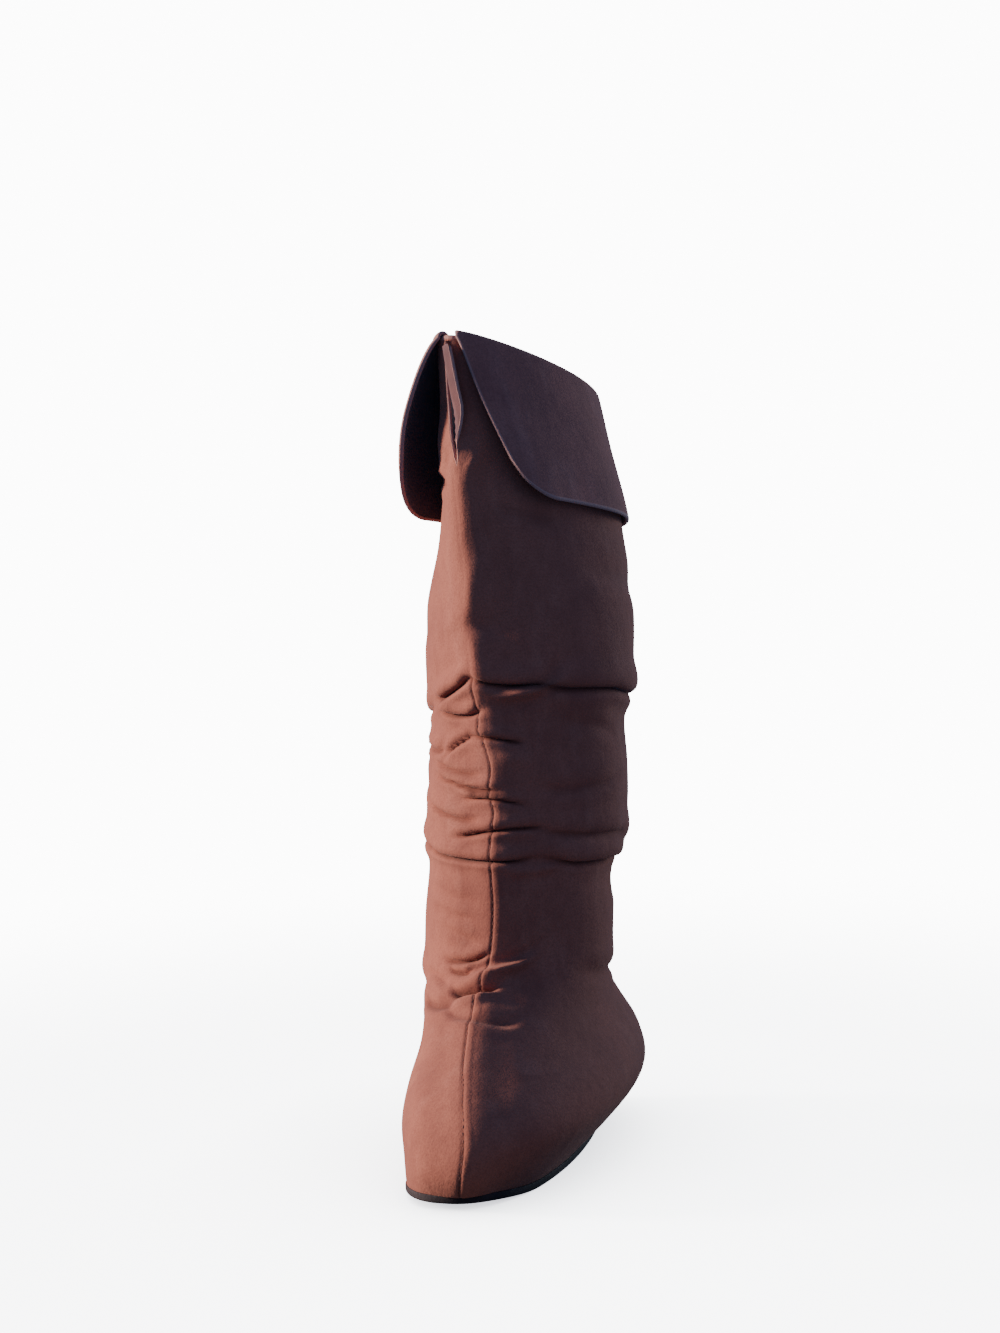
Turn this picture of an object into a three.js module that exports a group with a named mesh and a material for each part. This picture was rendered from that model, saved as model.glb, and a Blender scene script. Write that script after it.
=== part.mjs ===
// A soft knee-high boot in brown suede, standing empty on its thin flat sole.
// Millimetres, +Z up, toe towards -Y, heel towards +Y, origin on the floor under the middle of the foot.
import * as THREE from "three";
import { mergeVertices } from "three/addons/utils/BufferGeometryUtils.js";

// Driving sizes
const WALL = 2; // suede and its lining
const CUFF = 2.4; // thickness of the turned-down cuff
const GAP = 0.3; // between two pieces that touch on the real boot
const ROLL_GAP = 0.8; // between the shaft's top edge and the cuff that rolls over it
const SOLE_THICK = 4.7;
const SOLE_PROUD = 0.6; // how far the sole's edge stands out past the bottom of the upper
const SOLE_BEVEL = 1.6; // slant of the sole's lower edge
const SOLE_ROUND = 0.7; // and of its upper edge
const INSOLE_THICK = 3;
const TOE_SPRING = 4; // lift of the toe over the floor
const SPRING_FROM = -96; // Y where the sole starts to rise
const SPRING_TO = -152;
const SEAM_HALF = 2.6; // half the width of the raised seam down the front
const SEAM_RISE = 1.1;
const SEAM_DRIFT = 0.05; // angle by which the seam is off the middle at the toe
const SEAM_STRAIGHT = 5; // section from which the seam keeps to the middle

// Sections from the bottom of the upper to its top edge, each a closed loop round the leg or foot. front
// and back are the Y of the loop's two ends, each with its height. half is half the width, centre its X,
// round the exponent of its corners, where 1 is an ellipse and less is squarer, rear how much wider it is
// behind than in front, and twist the turn of its front towards -X in degrees.
const COLUMNS = ["front", "frontZ", "back", "backZ", "half", "centre", "round", "rear", "twist"];
const SECTIONS = [
  [-153, 5, 111, 5, 44, -2, 0.8, -0.14, 1.5], // where upper and sole meet
  [-159, 20, 120, 22, 53, 4, 0.8, -0.06, 1.5], // fullest round the toe
  [-155, 38, 124, 44, 63, 9, 0.82, -0.06, 1.5], // ball, and fullest round the heel
  [-141, 56, 120, 64, 61, 8, 0.84, -0.06, 1.5],
  [-114, 74, 110, 82, 54, 2, 0.88, 0, 1.5], // instep
  [-86, 92, 98, 96, 53, -3, 0.92, 0, 1],
  [-62, 108, 88, 104, 56, -6, 0.96, 0, -1],
  [-51, 126, 85, 114, 58, -6, 1, 0, -4], // ankle
  [-49, 150, 84, 140, 58, -5, 1, 0, -5],
  [-48, 176, 84, 168, 56, -4, 1, 0, -4], // under the lower fold
  [-46, 190, 88, 183, 61, -2, 1, 0, -2], // lower fold
  [-43, 213, 91, 206, 62, 0, 1, 0, 0],
  [-41, 238, 91, 232, 61, 1, 1, 0, 3],
  [-39, 265, 93, 259, 59, 1, 1, 0, 6], // under the upper fold
  [-39, 284, 97, 277, 63, 2, 1, 0, 10], // upper fold, hanging over
  [-38, 306, 99, 299, 63, 2, 1, 0, 13],
  [-37, 335, 100, 325, 60, 2, 1, 0.03, 15],
  [-36, 372, 105, 356, 52, 3, 1, 0.08, 15], // below the cuff
  [-35, 410, 108, 386, 45, 1, 1, 0.16, 15],
  [-34, 455, 110, 420, 38, -4, 1, 0.24, 15],
  [-33, 495, 112, 452, 33, -8, 1, 0.3, 15], // top edge
];
const TOP = SECTIONS.length - 1;
const SPRING_FADES = 5; // section above which the toe's lift is gone
const WIDTH_KEPT = -0.3; // where a loop keeps its width whatever its rear, from -1 in front to 1 behind

// The slit in the front of the shaft: section numbers of its lower and upper ends, half its greatest
// width, the power that sets how low it is widest, and how far and how wide its +X lip turns out.
const SLIT = { low: TOP - 1.8, high: TOP - 0.12, half: 2.6, power: 0.7, lipOut: 6, lipWide: 10 };
const FRONT_ARC = 42; // distance along the front of the shaft for an angle of 1

// The cuff: how many sections it hangs down at its +X and -X front edges, and turns down inside, its
// length from the fold to the lower edge and its way round, the front edges' distance from the front seam
// at the fold and at the lower edge. Then the radius of its two lower corners.
const FLAP = { downRight: 2.2, downLeft: 2.45, hook: 0.2, long: 88, round: 340, edgeTop: 9, edgeLow: 30 };
const CORNER = { right: 20, left: 34 };
// How far the cuff stands off the shaft behind and at each front edge, and how far round that reaches.
// The left one curls back in lower down, after the given share of half a turn.
const STAND_OFF = { back: 3, right: 7, left: 22, reach: 42, curl: 0.75 };

const clamp01 = (x) => Math.min(1, Math.max(0, x));
const smooth = (x) => clamp01(x) ** 2 * (3 - 2 * clamp01(x));
const lift = (y) => TOE_SPRING * smooth((SPRING_FROM - y) / (SPRING_FROM - SPRING_TO));

// The section at any number between two rows of the table, by a smooth curve through the rows.
function sectionAt(t) {
  const i = Math.min(TOP - 1, Math.max(0, Math.floor(t)));
  const f = t - i;
  const [a, b, c, d] = [-1, 0, 1, 2].map((k) => SECTIONS[Math.min(TOP, Math.max(0, i + k))]);
  const at = (k) => {
    const bend = (2 * a[k] - 5 * b[k] + 4 * c[k] - d[k]) * f + (3 * (b[k] - c[k]) + d[k] - a[k]) * f * f;
    return b[k] + 0.5 * f * (c[k] - a[k] + bend);
  };
  return Object.fromEntries(COLUMNS.map((name, k) => [name, at(k)]));
}

// A point of the boot's outer form: angle 0 is the front, a quarter turn is the +X side, half a turn the
// back.
function form(angle, t) {
  const s = sectionAt(t);
  const along = -Math.cos(angle);
  const across = Math.sign(Math.sin(angle)) * Math.abs(Math.sin(angle)) ** s.round;
  const dx = s.half * across * (1 + s.rear * (along - WIDTH_KEPT));
  const dy = ((s.back - s.front) / 2) * along;
  const turn = THREE.MathUtils.degToRad(s.twist);
  const x = s.centre + dx * Math.cos(turn) + dy * Math.sin(turn);
  const y = (s.front + s.back) / 2 - dx * Math.sin(turn) + dy * Math.cos(turn);
  const z = (s.frontZ + s.backZ) / 2 + ((s.backZ - s.frontZ) / 2) * along;
  return new THREE.Vector3(x, y, z + lift(y) * clamp01(1 - t / SPRING_FADES));
}

// Unit directions on a surface of two parameters: across it, up it, and out of it.
function frameOf(surface, a, b, step = 1e-3) {
  const across = surface(a + step, b).sub(surface(a - step, b)).normalize();
  const up = surface(a, b + step).sub(surface(a, b - step)).normalize();
  return { up, out: across.cross(up).normalize() };
}

// The same form moved out by a distance. At the sole it moves level, so that the rim lies flat.
function offsetForm(angle, t, out) {
  const normal = frameOf(form, angle, t).out;
  normal.z *= clamp01(t);
  return form(angle, t).addScaledVector(normal.normalize(), out);
}

// The front seam leaves the middle of the foot a little towards the toe. Distance from it, for a small angle.
const seamAngle = (t) => SEAM_DRIFT * clamp01(1 - t / SEAM_STRAIGHT);
const fromSeam = (angle, t) => form(angle, t).distanceTo(form(seamAngle(t), t));

// Half the slit's width at a section, and how far a point of its +X lip is turned out.
const slitHalf = (t) => {
  const u = clamp01((t - SLIT.low) / (SLIT.high - SLIT.low));
  return SLIT.half * Math.sin(Math.PI * u ** SLIT.power);
};
const lipOut = (angle, t) => {
  const fade = smooth(1 - (fromSeam(angle, t) - slitHalf(t)) / SLIT.lipWide);
  return angle < 1 ? SLIT.lipOut * (slitHalf(t) / SLIT.half) * fade : 0;
};

// The upper's outer face has the raised seam as a step in it. Both faces part at the slit and follow the
// lip out.
function upperFace(angle, t, inward) {
  const side = angle < Math.PI ? 1 : -1;
  const near = side > 0 ? angle : angle - 2 * Math.PI;
  const toFront = 1 - Math.abs(near) / Math.PI;
  const parted = (side * slitHalf(t)) / FRONT_ARC;
  const opened = near + toFront * (parted + seamAngle(t));
  const ridge = SEAM_RISE * smooth(2 * (1 - (fromSeam(opened, t) - slitHalf(t)) / SEAM_HALF));
  return offsetForm(opened, t, lipOut(opened, t) + (inward ? -WALL : ridge));
}

// A closed solid between two faces, each a function of a column and a row, with walls round its edge.
// joined(row) says that the first and last columns are one line there, so that no wall stands between them.
function sheet(outer, inner, columns, rows, joined = () => false) {
  const [outside, inside] = [outer, inner].map((face) => rows.map((b) => columns.map((a) => face(a, b))));
  const last = columns.length - 1;
  const top = rows.length - 1;
  const corners = [];
  const quad = (p, q, r, s) => corners.push(p, q, r, p, r, s);
  for (let i = 0; i < top; i += 1) {
    for (let j = 0; j < last; j += 1) {
      quad(outside[i][j], outside[i][j + 1], outside[i + 1][j + 1], outside[i + 1][j]);
      quad(inside[i][j], inside[i + 1][j], inside[i + 1][j + 1], inside[i][j + 1]);
    }
    if (!(joined(rows[i]) && joined(rows[i + 1]))) {
      quad(inside[i][0], outside[i][0], outside[i + 1][0], inside[i + 1][0]);
      quad(outside[i][last], inside[i][last], inside[i + 1][last], outside[i + 1][last]);
    }
  }
  for (let j = 0; j < last; j += 1) {
    quad(inside[0][j], inside[0][j + 1], outside[0][j + 1], outside[0][j]);
    quad(outside[top][j], outside[top][j + 1], inside[top][j + 1], inside[top][j]);
  }
  return solidFrom(corners);
}

// Corners of triangles to a geometry whose shared points are merged and whose empty triangles are dropped.
function solidFrom(corners) {
  const geometry = new THREE.BufferGeometry();
  geometry.setAttribute("position", new THREE.Float32BufferAttribute(corners.flatMap((p) => p.toArray()), 3));
  const merged = mergeVertices(geometry, 1e-4);
  const index = [...merged.index.array];
  const kept = [];
  for (let k = 0; k < index.length; k += 3) {
    const [a, b, c] = index.slice(k, k + 3);
    if (a !== b && b !== c && c !== a) kept.push(a, b, c);
  }
  merged.setIndex(kept);
  merged.computeVertexNormals();
  return merged;
}

// Angles round the boot, close together at the seam so that its step shows.
const SEAM_ANGLES = [0, 0.02, 0.045, 0.09, 0.16];
const WIDE_FROM = 0.26;
const WIDE_STEPS = 15;
const wideAngle = (k) => WIDE_FROM + ((Math.PI - WIDE_FROM) * k) / WIDE_STEPS;
const HALF_ANGLES = [...SEAM_ANGLES, ...Array.from({ length: WIDE_STEPS + 1 }, (_, k) => wideAngle(k))];
const ANGLES = [...HALF_ANGLES, ...HALF_ANGLES.slice(0, -1).reverse().map((a) => 2 * Math.PI - a)];

function upper() {
  const rows = Array.from({ length: 2 * TOP + 1 }, (_, k) => k / 2);
  const all = [...rows, SLIT.low, SLIT.high].sort((a, b) => a - b);
  const closed = (t) => slitHalf(t) < 1e-6;
  const face = (inward) => (angle, t) => upperFace(angle, t, inward);
  return sheet(face(false), face(true), ANGLES, all, closed);
}

// A flat slab on the boot's footprint, as rings of outline from bottom to top, each moved out and at a
// height.
function slab(rings) {
  const points = rings.map(([out, z]) =>
    ANGLES.slice(0, -1).map((angle) => {
      const p = offsetForm(angle, 0, out);
      return p.setZ(z + lift(p.y));
    }),
  );
  const count = ANGLES.length - 1;
  const corners = [];
  const quad = (p, q, r, s) => corners.push(p, q, r, p, r, s);
  for (let i = 0; i < points.length - 1; i += 1) {
    for (let j = 0; j < count; j += 1) {
      const k = (j + 1) % count;
      quad(points[i][j], points[i][k], points[i + 1][k], points[i + 1][j]);
    }
  }
  const [floor, ceiling] = [points[0], points[points.length - 1]];
  for (let j = 0; j < count / 2; j += 1) {
    const [right, left] = [j + 1, (count - j - 1) % count];
    quad(floor[j], floor[(count - j) % count], floor[left], floor[right]);
    quad(ceiling[j], ceiling[right], ceiling[left], ceiling[(count - j) % count]);
  }
  return solidFrom(corners);
}

function outsole() {
  return slab([
    [SOLE_PROUD - SOLE_BEVEL, 0],
    [SOLE_PROUD, SOLE_BEVEL],
    [SOLE_PROUD, SOLE_THICK - SOLE_ROUND],
    [SOLE_PROUD - SOLE_ROUND, SOLE_THICK],
  ]);
}

function insole() {
  const clear = -(WALL + 2 * GAP);
  const base = SOLE_THICK + GAP;
  return slab([
    [clear, base],
    [clear, base + INSOLE_THICK],
  ]);
}

// The cuff's path over the top edge: a short leg inside the collar, a roll, and the flap down the outside.
// Each entry is the section, the distance out from the form, and the rise past the top edge.
const ROLL = WALL / 2 + ROLL_GAP + CUFF / 2;
const ROLL_STEPS = 4;
const FLAP_STEPS = 9;
const CUFF_PLACES = 38;
function cuffPath(step, down) {
  if (step < 1) return { t: TOP - FLAP.hook * (1 - step), out: -WALL / 2 - ROLL, rise: 0, fall: 0 };
  const turn = clamp01((step - 1) / ROLL_STEPS) * Math.PI;
  const fall = Math.max(0, (step - 1 - ROLL_STEPS) / FLAP_STEPS);
  return { t: TOP - fall * down, out: -WALL / 2 - ROLL * Math.cos(turn), rise: ROLL * Math.sin(turn), fall };
}

// Middle of the cuff's thickness. place runs from 0 at its +X front edge round the back to 1 at its -X
// front edge.
function cuffWall(place, step) {
  const corner = place < 0.5 ? CORNER.right : CORNER.left;
  const toEdge = Math.max(0, corner - Math.min(place, 1 - place) * FLAP.round);
  const cornerUp = corner - Math.sqrt(Math.max(0, corner ** 2 - toEdge ** 2));
  const flapStart = 1 + ROLL_STEPS;
  const reached = step < flapStart ? step : flapStart + (step - flapStart) * (1 - cornerUp / FLAP.long);
  const down = FLAP.downRight + (FLAP.downLeft - FLAP.downRight) * smooth(place);
  const { t, out, rise, fall } = cuffPath(reached, down);
  const edge = (FLAP.edgeTop + (FLAP.edgeLow - FLAP.edgeTop) * fall) / FRONT_ARC;
  const angle = edge + (2 * Math.PI - 2 * edge) * place;
  const near = (part) => Math.exp(-(((part * FLAP.round) / STAND_OFF.reach) ** 2));
  const rightOff = STAND_OFF.right * near(place) * fall;
  const leftOff = STAND_OFF.left * near(1 - place) * Math.sin(STAND_OFF.curl * Math.PI * fall);
  const off = STAND_OFF.back * fall + rightOff + leftOff;
  const frame = frameOf(form, angle, Math.min(t, TOP - 0.01));
  const level = frame.out.setZ(0).normalize();
  return form(angle, t).addScaledVector(level, out + off).addScaledVector(frame.up, rise);
}

function cuff() {
  const places = Array.from({ length: CUFF_PLACES + 1 }, (_, k) => k / CUFF_PLACES);
  const steps = Array.from({ length: 2 + ROLL_STEPS + FLAP_STEPS }, (_, k) => k);
  const side = (distance) => (a, b) => cuffWall(a, b).addScaledVector(frameOf(cuffWall, a, b).out, distance);
  return sheet(side(CUFF / 2), side(-CUFF / 2), places, steps);
}

const suede = { roughness: 0.95, metalness: 0 };
const NODES = [
  ["outsole", outsole, { color: 0x3a2a2a, roughness: 0.85, metalness: 0 }],
  ["insole", insole, { color: 0x6b4a40, roughness: 0.9, metalness: 0 }],
  ["upper", upper, { color: 0x965c4e, ...suede }],
  ["cuff", cuff, { color: 0x8a5448, ...suede }],
];

const boot = new THREE.Group();
for (const [name, make, look] of NODES) {
  const mesh = new THREE.Mesh(make(), new THREE.MeshStandardMaterial(look));
  mesh.name = name;
  boot.add(mesh);
}
export default boot;
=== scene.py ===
# %% [markdown]
# This script dresses a soft knee-high boot in brown suede. The boot's solids were built and packed before.
# They are loaded here as a fixed frame, and finer surfaces take their place: the creased suede, its split
# cuff, the lining, the stitches and the thin sole. Everything is worked out in millimetres and scaled once,
# when a mesh is made, because a bootmaker's sizes are easier to read than thousandths of a metre.

import bpy
import numpy as np
from mathutils import Matrix, Vector


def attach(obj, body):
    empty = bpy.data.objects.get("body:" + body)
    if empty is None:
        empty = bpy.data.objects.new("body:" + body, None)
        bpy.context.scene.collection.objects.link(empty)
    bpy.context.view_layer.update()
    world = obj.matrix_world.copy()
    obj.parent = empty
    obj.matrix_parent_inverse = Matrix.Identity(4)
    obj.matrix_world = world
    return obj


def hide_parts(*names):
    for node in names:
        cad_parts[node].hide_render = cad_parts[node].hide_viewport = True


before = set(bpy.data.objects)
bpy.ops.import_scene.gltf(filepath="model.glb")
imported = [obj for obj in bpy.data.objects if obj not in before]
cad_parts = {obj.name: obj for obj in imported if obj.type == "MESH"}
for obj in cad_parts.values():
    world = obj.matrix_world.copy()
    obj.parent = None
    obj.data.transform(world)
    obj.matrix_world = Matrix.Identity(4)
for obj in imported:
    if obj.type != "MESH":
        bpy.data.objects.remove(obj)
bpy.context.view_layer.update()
MM = 0.001

# %% [markdown]
# The camera comes first, because every fold is judged from where the photograph was taken. It stands to the
# right of the toe, a little above the cuff's height, and looks slightly down. A camera in Blender looks along
# its own -Z with +Y up, so its matrix holds the right, up and backward directions as columns. The long lens
# is worked out from the photograph's size in pixels, which gives the same picture at any render size.

# %% The camera
PHOTO_HIGH = 1333
FOCAL_PIXELS = 2515
SENSOR = 36.0
SEES_TO = 50
CAMERA_AT = (422.3, -1472.8, 402.5)
CAMERA_TURN = np.radians(16.31)
CAMERA_DOWN = np.radians(4.0)
CAMERA_ROLL = np.radians(-1.5)


def camera_axes(turn, down, roll):
    """Right, up and forward: forward is turned about Z and tipped down, then the other two roll about it."""
    level = np.array([-np.sin(turn), np.cos(turn), 0])
    side = np.array([np.cos(turn), np.sin(turn), 0])
    forward = level * np.cos(down) - np.array([0, 0, np.sin(down)])
    top = level * np.sin(down) + np.array([0, 0, np.cos(down)])
    return side * np.cos(roll) + top * np.sin(roll), top * np.cos(roll) - side * np.sin(roll), forward


right, up, forward = camera_axes(CAMERA_TURN, CAMERA_DOWN, CAMERA_ROLL)
camera = bpy.data.objects.new("camera", bpy.data.cameras.new("camera"))
camera.data.sensor_fit = "VERTICAL"
camera.data.sensor_height = SENSOR
camera.data.lens = FOCAL_PIXELS / PHOTO_HIGH * SENSOR
camera.data.clip_end = SEES_TO
turned = Matrix(np.column_stack([right, up, -forward]).tolist()).to_4x4()
camera.matrix_world = Matrix.Translation(Vector(CAMERA_AT) * MM) @ turned
bpy.context.scene.collection.objects.link(camera)
bpy.context.scene.camera = camera
print("lens", round(camera.data.lens, 1), "mm")

# %% [markdown]
# The whole boot hangs on one idea: a stack of closed loops, from the rim of the sole to the top edge. A
# loop's two ends each have a place and a height of their own, so that the loops can lean with the foot, turn
# the corner at the ankle and lie flat round the leg. The table is the same as in the boot's solids. A smooth
# curve through its rows gives a loop at any number between two of them. Because the surface is a function of
# the angle round and the loop's number, everything else, from seams to folds, can be placed on it.

# %% The boot's form
COLUMNS = ["front", "front_z", "back", "back_z", "half", "centre", "round", "rear", "twist"]
SECTIONS = np.array([
    [-153, 5, 111, 5, 44, -2, 0.8, -0.14, 1.5],  # where upper and sole meet
    [-159, 20, 120, 22, 53, 4, 0.8, -0.06, 1.5],  # fullest round the toe
    [-155, 38, 124, 44, 63, 9, 0.82, -0.06, 1.5],  # ball, and fullest round the heel
    [-141, 56, 120, 64, 61, 8, 0.84, -0.06, 1.5],
    [-114, 74, 110, 82, 54, 2, 0.88, 0, 1.5],  # instep
    [-86, 92, 98, 96, 53, -3, 0.92, 0, 1],
    [-62, 108, 88, 104, 56, -6, 0.96, 0, -1],
    [-51, 126, 85, 114, 58, -6, 1, 0, -4],  # ankle
    [-49, 150, 84, 140, 58, -5, 1, 0, -5],
    [-48, 176, 84, 168, 56, -4, 1, 0, -4],  # under the lower fold
    [-46, 190, 88, 183, 61, -2, 1, 0, -2],  # lower fold
    [-43, 213, 91, 206, 62, 0, 1, 0, 0],
    [-41, 238, 91, 232, 61, 1, 1, 0, 3],
    [-39, 265, 93, 259, 59, 1, 1, 0, 6],  # under the upper fold
    [-39, 284, 97, 277, 63, 2, 1, 0, 10],  # upper fold, hanging over
    [-38, 306, 99, 299, 63, 2, 1, 0, 13],
    [-37, 335, 100, 325, 60, 2, 1, 0.03, 15],
    [-36, 372, 105, 356, 52, 3, 1, 0.08, 15],  # below the cuff
    [-35, 410, 108, 386, 45, 1, 1, 0.16, 15],
    [-34, 455, 110, 420, 38, -4, 1, 0.24, 15],
    [-33, 495, 112, 452, 33, -8, 1, 0.3, 15],  # top edge
])
TOP = len(SECTIONS) - 1
TOE_SPRING = 4
SPRING_FROM = -96
SPRING_TO = -152
SPRING_FADES = 5
WIDTH_KEPT = -0.3
CALF = 15
TINY = 1e-9


def smooth(x):
    """0 up to x = 0, 1 from x = 1, and three times the square less twice the cube in between."""
    x = np.clip(x, 0, 1)
    return x * x * (3 - 2 * x)


def bell(x):
    """The bell curve, e to the power of minus x squared."""
    return np.exp(-(x * x))


def section(t):
    """A row of the table at any number t.

    A Catmull-Rom curve joins the four rows a, b, c and d round t: a cubic from b to c that leaves b in the
    direction from a to c, and reaches c in the direction from b to d.
    """
    first = np.clip(np.floor(t).astype(int), 0, TOP - 1)
    f = (t - first)[..., None]
    a, b, c, d = [SECTIONS[np.clip(first + k, 0, TOP)] for k in (-1, 0, 1, 2)]
    row = b + 0.5 * f * (c - a + (2 * a - 5 * b + 4 * c - d) * f + (3 * (b - c) + d - a) * f * f)
    return dict(zip(COLUMNS, np.moveaxis(row, -1, 0)))


def lift(y):
    """How far the toe is raised over the floor at a distance y along the foot."""
    return TOE_SPRING * smooth((SPRING_FROM - y) / (SPRING_FROM - SPRING_TO))


def form(angle, t):
    """A squared ellipse, leaning from its front height to its back height, then turned about the upright.

    Along the foot it goes by minus the cosine of the angle. Across, it goes by the sine to the power of the
    row's roundness, times the half width, which the row may also narrow towards one end.
    """
    angle, t = np.broadcast_arrays(np.asarray(angle, float), np.asarray(t, float))
    s = section(t)
    along = -np.cos(angle)
    across = np.sign(np.sin(angle)) * np.abs(np.sin(angle)) ** s["round"]
    dx = s["half"] * across * (1 + s["rear"] * (along - WIDTH_KEPT))
    dy = (s["back"] - s["front"]) / 2 * along
    turn = np.radians(s["twist"])
    x = s["centre"] + dx * np.cos(turn) + dy * np.sin(turn)
    y = (s["front"] + s["back"]) / 2 - dx * np.sin(turn) + dy * np.cos(turn)
    z = (s["front_z"] + s["back_z"]) / 2 + (s["back_z"] - s["front_z"]) / 2 * along
    return np.stack([x, y, z + lift(y) * np.clip(1 - t / SPRING_FADES, 0, 1)], axis=-1)


def unit(v):
    """A direction of length 1: the vector over its length."""
    return v / np.maximum(np.linalg.norm(v, axis=-1, keepdims=True), TINY)


def directions(surface, a, b, step=1e-3):
    """Unit directions across, up and out of a surface of two parameters, from small steps either way."""
    across = unit(surface(a + step, b) - surface(a - step, b))
    upward = unit(surface(a, b + step) - surface(a, b - step))
    return across, upward, unit(np.cross(across, upward))


calf_loop = form(np.linspace(0, 2 * np.pi, 200), CALF)
girth = np.linalg.norm(np.diff(calf_loop, axis=0), axis=1).sum()
print("girth at the calf", round(float(girth)), "mm")

# %% [markdown]
# Folds are easiest to place with a tape measure: so many millimetres round from the front seam, and so many
# up from the floor. A fine grid over the form gives both for every point. The tape runs each way from the
# front seam, negative towards the side that the light comes from. Each row below is one fold. It starts and
# ends at a place round and a height, sags or arches between them, and has a depth and a width. Lap is how far
# the suede above it hangs down over it, which is what tells a soft slumped shaft from a dented tube.

# %% The folds
FOLD_COLUMNS = ["from_mm", "to_mm", "height_from", "height_to", "arch", "depth", "width", "lap"]
FOLDS = np.array([
    # the pucker under the slit
    [-48, -4, 412, 409, -1, 2.6, 3.4, 1.5],
    [6, 70, 398, 384, -3, 1.4, 5.0, 2.0],
    # faint slack over the calf
    [60, 160, 356, 334, 5, 1.5, 8.0, 3.0],
    [150, 250, 318, 338, -5, 1.8, 9.0, 4.0],
    [-140, -50, 338, 314, 4, 1.5, 8.0, 3.0],
    # the big fold under the calf, across the front and round the back
    [-46, 2, 276, 294, -1, 5.2, 3.0, 5.0],
    [-8, 52, 293, 290, -3, 4.2, 3.2, 5.0],
    [30, 130, 286, 279, 2, 4.0, 4.6, 6.5],
    [95, 195, 281, 260, 5, 4.2, 5.5, 7.0],
    [170, 258, 254, 274, -4, 3.8, 5.0, 6.0],
    [-175, -66, 274, 264, 5, 3.8, 5.0, 6.0],
    [-96, -44, 262, 272, 2, 2.0, 3.6, 3.0],
    [-44, 3, 273, 273, -4, 4.0, 2.3, 2.8],
    [3, 60, 280, 298, -5, -4.8, 3.2, 0.0],
    [40, 96, 262, 252, 4, 1.2, 5.0, 2.0],
    # between the two big folds
    [-80, -34, 250, 247, -2, 3.4, 2.6, 3.0],
    [-40, -8, 242, 257, 2, 2.8, 2.1, 1.6],
    [-16, 24, 257, 251, 2, 4.0, 2.1, 2.8],
    [-54, -2, 241, 233, -2, 2.6, 2.0, 1.6],
    [-56, 12, 232, 223, 0, 4.0, 2.0, 2.6],
    [-30, 22, 217, 213, 5, 3.6, 1.8, 2.2],
    [-74, -4, 217, 206, -3, 3.0, 2.3, 2.0],
    [-30, -6, 226, 221, 2, 1.6, 1.5, 0.8],
    [16, 100, 226, 230, -4, 1.6, 4.5, 2.2],
    [125, 215, 244, 220, 3, 2.6, 6.0, 4.5],
    [190, 290, 226, 246, -4, 2.6, 5.5, 4.0],
    [-130, -70, 240, 218, 3, 2.6, 5.0, 3.5],
    # the lower big fold, over the ankle
    [-40, 34, 193, 203, 3, 4.0, 2.2, 2.8],
    [10, 120, 202, 193, -2, 2.2, 4.0, 3.5],
    [-72, 32, 188, 184, -2, 4.4, 2.4, 3.8],
    [18, 130, 184, 181, -3, 3.2, 3.8, 5.5],
    [85, 185, 180, 194, 3, 3.2, 5.0, 5.0],
    [150, 262, 188, 170, -4, 3.8, 5.0, 6.0],
    [-175, -84, 174, 190, 4, 3.4, 5.0, 5.0],
    [-100, -54, 192, 186, 0, 2.6, 3.4, 3.0],
    [0, 44, 176, 180, -2, -1.6, 2.6, 0.0],
    # the plain stretch over the ankle
    [-64, -10, 166, 158, -2, 1.2, 3.4, 0.8],
    [-58, -12, 154, 147, -2, 1.1, 3.0, 0.6],
    [-44, -8, 143, 132, 0, 1.1, 2.6, 0.8],
    [100, 180, 158, 140, 4, 1.8, 6.0, 3.0],
    [165, 250, 136, 152, -3, 1.8, 6.0, 3.0],
    [-160, -90, 150, 138, -3, 1.6, 6.0, 3.0],
    # the bend of the ankle
    [-40, 0, 123, 128, -3, 3.4, 2.2, 2.6],
    [-30, -10, 117, 116, -1, 3.0, 1.6, 1.4],
    [-18, 30, 112, 129, -4, -3.4, 3.2, 0.0],
    [-26, 12, 107, 109, -2, 4.0, 2.0, 2.2],
    [-62, -24, 112, 108, 2, 1.6, 2.4, 1.2],
    [-26, 8, 101, 104, -2, -2.0, 2.0, 0.0],
    [-70, -6, 98, 105, -4, 3.0, 2.8, 1.6],
    [-26, 34, 97, 93, -2, 2.2, 2.3, 1.0],
    [50, 150, 116, 106, -4, 1.4, 5.0, 2.4],
    [130, 205, 104, 116, -3, 2.6, 5.0, 3.6],
    [175, 262, 112, 102, -3, 3.0, 5.0, 4.5],
    [-150, -50, 108, 100, 4, 2.8, 4.5, 4.0],
])
FOLD_TAPER = 0.3
RIDGE_ABOVE = {"high": 0.65, "off": 1.9}
RIDGE_BELOW = {"high": 0.4, "off": 1.8}
RIDGE_WIDE = 1.1
LAP_OFF = 1.3
LAP_WIDE = 1.2


def tape(points):
    """Millimetres from the first column to each point of a grid's row, and the length of the whole row."""
    steps = np.linalg.norm(np.diff(points, axis=1), axis=2)
    run = np.concatenate([np.zeros((len(points), 1)), np.cumsum(steps, axis=1)], axis=1)
    return run, run[:, -1:]


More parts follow.
